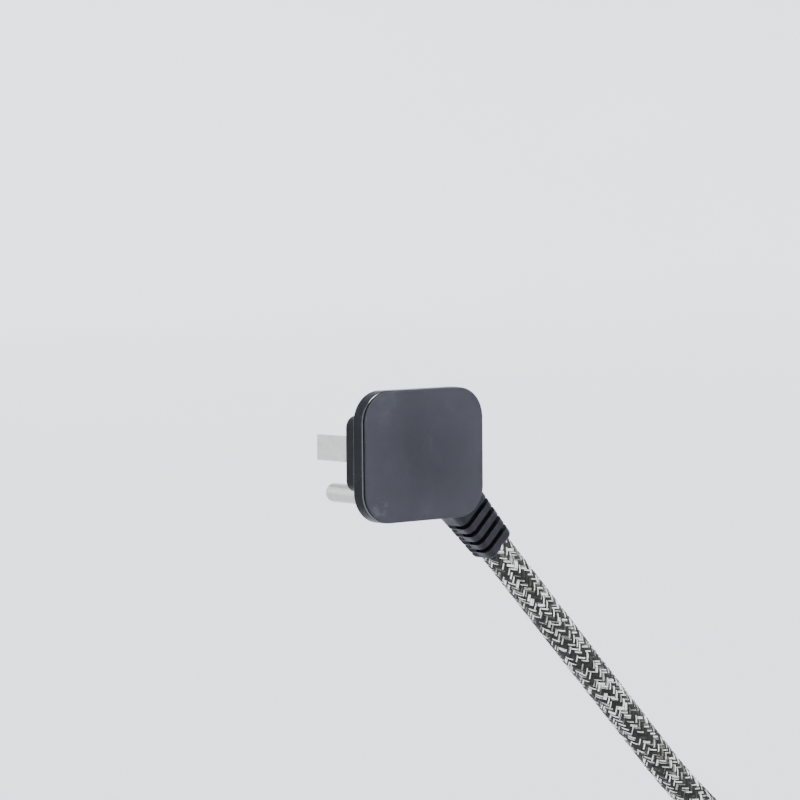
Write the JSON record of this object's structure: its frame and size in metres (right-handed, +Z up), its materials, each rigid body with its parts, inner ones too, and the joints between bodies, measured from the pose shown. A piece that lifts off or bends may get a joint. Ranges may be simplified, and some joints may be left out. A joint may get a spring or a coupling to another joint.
{
  "type": "smart plug",
  "caption": "Low rounded-square wall plug with a ribbed angled strain relief and braided cord, ending in a switched smart socket with button, light and shutter.",
  "frame": {"origin": "on the plug's receptacle-facing face, midway between the two flat blades", "axes": "+Z up, +Y into the wall along the blades, +X to the right as seen facing the wall"},
  "size_m": [0.2484, 0.1648, 0.1454],
  "materials": {
    "charcoal_cover": "satin moulded, fine grain",
    "charcoal_shell": "satin moulded",
    "black_nylon": "matte",
    "plated_brass": "bright nickel-plated",
    "tinned_copper": "tinned",
    "black_insulation": "satin",
    "white_insulation": "satin",
    "green_insulation": "satin",
    "inner_sheath": "matte",
    "plated_steel": "zinc-plated",
    "relief_rubber": "satin rubber",
    "braided_sleeve": "woven herringbone braid",
    "strap_fabric": "hook-and-loop strap",
    "shutter_plastic": "satin",
    "spring_steel": "drawn wire",
    "contact_brass": "stamped strip",
    "board_green": "solder mask",
    "relay_case": "moulded",
    "transformer_tape": "wound tape",
    "capacitor_sleeve": "shrink sleeve",
    "fuse_case": "moulded",
    "radio_blue": "solder mask",
    "button_grey": "satin",
    "led_body": "moulded",
    "clear_pipe": "frosted clear"
  },
  "bodies": {
    "case": {"plug_front_cover": "charcoal_cover", "plug_rear_shell": "charcoal_shell", "blade_bridge": "black_nylon", "line_blade": "plated_brass", "neutral_blade": "plated_brass", "ground_pin": "plated_brass", "crimp_ferrules": "tinned_copper", "plug_line_core": "black_insulation", "plug_neutral_core": "white_insulation", "plug_ground_core": "green_insulation", "plug_inner_sheath": "inner_sheath", "jacket_clamp": "plated_steel", "plug_strain_relief": "relief_rubber", "cord_run": "braided_sleeve", "cord_coil": "braided_sleeve", "cord_lead": "braided_sleeve", "cord_tie": "strap_fabric", "socket_face": "charcoal_cover", "socket_lower_shell": "charcoal_shell", "socket_upper_shell": "charcoal_shell", "shutter_spring": "spring_steel", "contact_carrier": "black_nylon", "line_contact": "contact_brass", "neutral_contact": "contact_brass", "ground_contact": "contact_brass", "circuit_board": "board_green", "relay": "relay_case", "supply_transformer": "transformer_tape", "supply_capacitor": "capacitor_sleeve", "fuse": "fuse_case", "radio_board": "radio_blue", "radio_shield": "plated_steel", "tact_switch": "black_nylon", "status_led": "led_body", "light_pipe": "clear_pipe", "shell_screws": "plated_steel", "cord_clamp_bar": "plated_steel", "clamp_screws": "plated_steel", "socket_strain_relief": "relief_rubber", "socket_inner_sheath": "inner_sheath", "socket_line_core": "black_insulation", "socket_neutral_core": "white_insulation", "socket_ground_core": "green_insulation"},
    "button": {"button_cap": "button_grey", "switch_plunger": "shutter_plastic"},
    "shutter_plate": {"shutter": "shutter_plastic"}
  },
  "joints": [
    {"name": "button_press", "type": "slide", "parent": "case", "child": "button", "axis": [0, 0, -1], "range_m": [0, 0.0008], "stiffness_N_per_m": 2500, "springref_m": -0.0003},
    {"name": "shutter_slide", "type": "slide", "parent": "case", "child": "shutter_plate", "axis": [0, -1, 0], "range_m": [0, 0.003], "stiffness_N_per_m": 300, "springref_m": -0.001, "deforming": ["shutter_spring"]}
  ]
}
